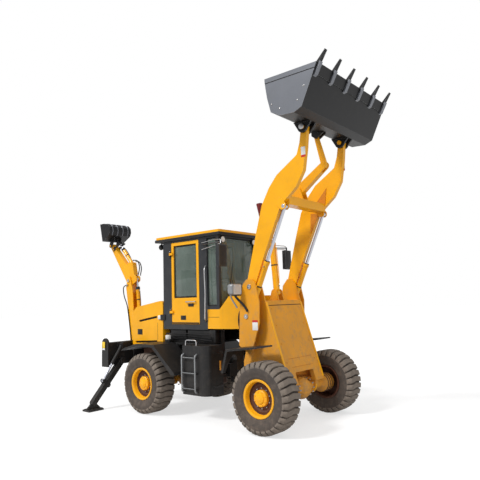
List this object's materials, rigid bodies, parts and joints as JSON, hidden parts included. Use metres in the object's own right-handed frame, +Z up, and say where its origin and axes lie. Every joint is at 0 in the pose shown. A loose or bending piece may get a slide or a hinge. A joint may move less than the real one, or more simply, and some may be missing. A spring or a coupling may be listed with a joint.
{
  "type": "backhoe loader",
  "caption": "Articulated backhoe loader with a glazed cab, a front loader bucket on long arms, a folding rear digging arm and stabilizers.",
  "frame": {"origin": "middle of the whole machine's bounding box in plan, on the ground", "axes": "+X towards the loader bucket, +Y to the machine's left, +Z up"},
  "size_m": [6.6, 3.12, 5.47],
  "materials": {
    "amber_paint": "glossy",
    "charcoal_paint": "satin",
    "bucket_steel": "satin",
    "tyre_rubber": "matte",
    "bright_chrome": "polished",
    "seat_vinyl": "matte",
    "cast_iron": "rough"
  },
  "bodies": {
    "rear_body": {"rear_chassis": "charcoal_paint", "rear_axle": "amber_paint", "gearbox": "cast_iron", "engine_block": "cast_iron", "engine_hood": "amber_paint", "cab_shell": "charcoal_paint", "cab_roof": "amber_paint", "operator_seat": "seat_vinyl", "steering_console": "seat_vinyl", "front_cowl": "amber_paint", "fender_platform": "charcoal_paint", "right_step_tank": "charcoal_paint", "left_step_tank": "charcoal_paint"},
    "right_door_leaf": {"right_door": "amber_paint"},
    "left_door_leaf": {"left_door": "amber_paint"},
    "front_body": {"front_frame": "amber_paint", "front_axle": "amber_paint", "right_front_fender": "charcoal_paint", "left_front_fender": "charcoal_paint", "right_headlamp": "charcoal_paint", "left_headlamp": "charcoal_paint"},
    "rear_right_wheel": {"rear_right_tyre": "tyre_rubber", "rear_right_rim": "amber_paint"},
    "rear_left_wheel": {"rear_left_tyre": "tyre_rubber", "rear_left_rim": "amber_paint"},
    "front_right_wheel": {"front_right_tyre": "tyre_rubber", "front_right_rim": "amber_paint"},
    "front_left_wheel": {"front_left_tyre": "tyre_rubber", "front_left_rim": "amber_paint"},
    "arms_body": {"loader_arms": "amber_paint"},
    "crank_body": {"bell_crank": "amber_paint"},
    "link_body": {"bucket_link": "amber_paint"},
    "bucket_body": {"loader_bucket": "bucket_steel"},
    "lift_barrels": {"right_lift_barrel": "amber_paint", "left_lift_barrel": "amber_paint"},
    "lift_rods": {"right_lift_rod": "bright_chrome", "left_lift_rod": "bright_chrome"},
    "tilt_barrel_body": {"tilt_barrel": "amber_paint"},
    "tilt_rod_body": {"tilt_rod": "bright_chrome"},
    "swing_body": {"swing_post": "amber_paint"},
    "boom_body": {"hoe_boom": "amber_paint"},
    "dipper_body": {"hoe_dipper": "amber_paint"},
    "hoe_bucket_body": {"hoe_bucket": "bucket_steel"},
    "rocker_body": {"hoe_rocker": "charcoal_paint"},
    "hoe_link_body": {"hoe_link": "charcoal_paint"},
    "boom_barrel_body": {"boom_barrel": "amber_paint"},
    "boom_rod_body": {"boom_rod": "bright_chrome"},
    "dipper_barrel_body": {"dipper_barrel": "amber_paint"},
    "dipper_rod_body": {"dipper_rod": "bright_chrome"},
    "curl_barrel_body": {"curl_barrel": "amber_paint"},
    "curl_rod_body": {"curl_rod": "bright_chrome"},
    "right_leg_body": {"right_stabilizer_leg": "charcoal_paint"},
    "right_stay_barrel_body": {"right_stay_barrel": "charcoal_paint"},
    "right_stay_rod_body": {"right_stay_rod": "bright_chrome"},
    "left_leg_body": {"left_stabilizer_leg": "charcoal_paint"},
    "left_stay_barrel_body": {"left_stay_barrel": "charcoal_paint"},
    "left_stay_rod_body": {"left_stay_rod": "bright_chrome"}
  },
  "joints": [
    {"name": "rear_right_spin", "type": "hinge", "parent": "rear_body", "child": "rear_right_wheel", "pos_m": [-0.8, -0.93, 0.535], "axis": [0, 1, 0], "continuous": true},
    {"name": "rear_left_spin", "type": "hinge", "parent": "rear_body", "child": "rear_left_wheel", "pos_m": [-0.8, 0.93, 0.535], "axis": [0, 1, 0], "continuous": true},
    {"name": "front_right_spin", "type": "hinge", "parent": "front_body", "child": "front_right_wheel", "pos_m": [1.9, -0.93, 0.535], "axis": [0, 1, 0], "continuous": true},
    {"name": "front_left_spin", "type": "hinge", "parent": "front_body", "child": "front_left_wheel", "pos_m": [1.9, 0.93, 0.535], "axis": [0, 1, 0], "continuous": true},
    {"name": "articulation", "type": "hinge", "parent": "rear_body", "child": "front_body", "pos_m": [1, 0, 0], "axis": [0, 0, 1], "range_deg": [-35, 35]},
    {"name": "right_door_hinge", "type": "hinge", "parent": "rear_body", "child": "right_door_leaf", "pos_m": [-0.61, -0.552, 2.35], "axis": [0, 0, -1], "range_deg": [0, 110]},
    {"name": "left_door_hinge", "type": "hinge", "parent": "rear_body", "child": "left_door_leaf", "pos_m": [-0.61, 0.552, 2.35], "axis": [0, 0, 1], "range_deg": [0, 110]},
    {"name": "loader_lift", "type": "hinge", "parent": "front_body", "child": "arms_body", "pos_m": [1.43, 0, 2.2], "axis": [0, 1, 0], "range_deg": [0, 107]},
    {"name": "lift_barrel_turn", "type": "hinge", "parent": "front_body", "child": "lift_barrels", "pos_m": [1.35, 0, 1.72], "axis": [0, 1, 0], "range_deg": [0, 94]},
    {"name": "lift_rod_slide", "type": "slide", "parent": "lift_barrels", "child": "lift_rods", "axis": [0.4196, 0, 0.9077], "range_m": [-0.7, 0]},
    {"name": "tilt_barrel_turn", "type": "hinge", "parent": "front_body", "child": "tilt_barrel_body", "pos_m": [1.5, 0, 2.1], "axis": [0, 1, 0], "range_deg": [0, 107]},
    {"name": "tilt_rod_slide", "type": "slide", "parent": "tilt_barrel_body", "child": "tilt_rod_body", "axis": [-0.0702, 0, 0.9975], "range_m": [-0.2, 0]},
    {"name": "bucket_tilt", "type": "hinge", "parent": "arms_body", "child": "bucket_body", "pos_m": [2.584, 0, 4.615], "axis": [0, -1, 0], "range_deg": [-95, 85]},
    {"name": "crank_turn", "type": "hinge", "parent": "arms_body", "child": "crank_body", "pos_m": [2.06, 0, 3.78], "axis": [0, -1, 0], "range_deg": [-29, 29]},
    {"name": "link_turn", "type": "hinge", "parent": "crank_body", "child": "link_body", "pos_m": [2.56, 0, 4.13], "axis": [0, -1, 0], "range_deg": [-53, 47]},
    {"name": "hoe_swing", "type": "hinge", "parent": "rear_body", "child": "swing_body", "pos_m": [-2.26, 0, 0.9], "axis": [0, 0, 1], "range_deg": [-80, 80]},
    {"name": "boom_lower", "type": "hinge", "parent": "swing_body", "child": "boom_body", "pos_m": [-2.4, 0, 0.88], "axis": [0, -1, 0], "range_deg": [0, 115]},
    {"name": "boom_barrel_turn", "type": "hinge", "parent": "swing_body", "child": "boom_barrel_body", "pos_m": [-2.26, 0, 1.11], "axis": [0, -1, 0], "range_deg": [0, 116]},
    {"name": "boom_rod_slide", "type": "slide", "parent": "boom_barrel_body", "child": "boom_rod_body", "axis": [-0.2045, 0, 0.9789], "range_m": [0, 0.44]},
    {"name": "dipper_swing", "type": "hinge", "parent": "boom_body", "child": "dipper_body", "pos_m": [-2.52, 0, 2.49], "axis": [0, -1, 0], "range_deg": [-25, 87]},
    {"name": "dipper_barrel_turn", "type": "hinge", "parent": "boom_body", "child": "dipper_barrel_body", "pos_m": [-2.23, 0, 1.74], "axis": [0, -1, 0], "range_deg": [-4, 11]},
    {"name": "dipper_rod_slide", "type": "slide", "parent": "dipper_barrel_body", "child": "dipper_rod_body", "axis": [-0.1146, 0, 0.9934], "range_m": [-0.08, 0.26]},
    {"name": "hoe_curl", "type": "hinge", "parent": "dipper_body", "child": "hoe_bucket_body", "pos_m": [-3.18, 0, 3.33], "axis": [0, 1, 0], "range_deg": [-100, 0]},
    {"name": "rocker_turn", "type": "hinge", "parent": "dipper_body", "child": "rocker_body", "pos_m": [-3.1, 0, 3.235], "axis": [0, 1, 0], "range_deg": [-82, 0]},
    {"name": "hoe_link_turn", "type": "hinge", "parent": "rocker_body", "child": "hoe_link_body", "pos_m": [-2.93, 0, 3.35], "axis": [0, 1, 0], "range_deg": [0, 46]},
    {"name": "curl_barrel_turn", "type": "hinge", "parent": "dipper_body", "child": "curl_barrel_body", "pos_m": [-2.48, 0, 2.86], "axis": [0, 1, 0], "range_deg": [-8, 0]},
    {"name": "curl_rod_slide", "type": "slide", "parent": "curl_barrel_body", "child": "curl_rod_body", "axis": [-0.6764, 0, 0.7365], "range_m": [0, 0.25]},
    {"name": "right_stabilizer_fold", "type": "hinge", "parent": "rear_body", "child": "right_leg_body", "pos_m": [-1.87, -0.76, 0.86], "axis": [-1, 0, 0], "range_deg": [0, 65]},
    {"name": "right_stay_barrel_turn", "type": "hinge", "parent": "rear_body", "child": "right_stay_barrel_body", "pos_m": [-1.87, -0.74, 1.17], "axis": [-1, 0, 0], "range_deg": [0, 49]},
    {"name": "right_stay_rod_slide", "type": "slide", "parent": "right_stay_barrel_body", "child": "right_stay_rod_body", "axis": [0, -0.5606, -0.8281], "range_m": [-0.28, 0]},
    {"name": "left_stabilizer_fold", "type": "hinge", "parent": "rear_body", "child": "left_leg_body", "pos_m": [-1.87, 0.76, 0.86], "axis": [1, 0, 0], "range_deg": [0, 65]},
    {"name": "left_stay_barrel_turn", "type": "hinge", "parent": "rear_body", "child": "left_stay_barrel_body", "pos_m": [-1.87, 0.74, 1.17], "axis": [1, 0, 0], "range_deg": [0, 49]},
    {"name": "left_stay_rod_slide", "type": "slide", "parent": "left_stay_barrel_body", "child": "left_stay_rod_body", "axis": [0, 0.5606, -0.8281], "range_m": [-0.28, 0]}
  ],
  "couplings": [
    {"joint": "lift_barrel_turn", "follows": "loader_lift", "ratio": 0.8727},
    {"joint": "lift_rod_slide", "follows": "loader_lift", "m_per_rad": -0.37264},
    {"joint": "tilt_barrel_turn", "follows": "loader_lift", "ratio": 0.99178},
    {"joint": "tilt_rod_slide", "follows": "loader_lift", "m_per_rad": -0.10453},
    {"joint": "crank_turn", "follows": "bucket_tilt", "ratio": -0.29},
    {"joint": "link_turn", "follows": "bucket_tilt", "ratio": 0.54},
    {"joint": "boom_barrel_turn", "follows": "boom_lower", "ratio": 0.993},
    {"joint": "boom_rod_slide", "follows": "boom_lower", "m_per_rad": 0.212},
    {"joint": "dipper_barrel_turn", "follows": "dipper_swing", "ratio": 0.105},
    {"joint": "dipper_rod_slide", "follows": "dipper_swing", "m_per_rad": 0.16},
    {"joint": "rocker_turn", "follows": "hoe_curl", "ratio": 0.804},
    {"joint": "hoe_link_turn", "follows": "hoe_curl", "ratio": -0.44},
    {"joint": "curl_barrel_turn", "follows": "hoe_curl", "ratio": 0.07},
    {"joint": "curl_rod_slide", "follows": "hoe_curl", "m_per_rad": -0.13464},
    {"joint": "right_stay_barrel_turn", "follows": "right_stabilizer_fold", "ratio": 0.73362},
    {"joint": "right_stay_rod_slide", "follows": "right_stabilizer_fold", "m_per_rad": -0.24155},
    {"joint": "left_stay_barrel_turn", "follows": "left_stabilizer_fold", "ratio": 0.73362},
    {"joint": "left_stay_rod_slide", "follows": "left_stabilizer_fold", "m_per_rad": -0.24155}
  ]
}
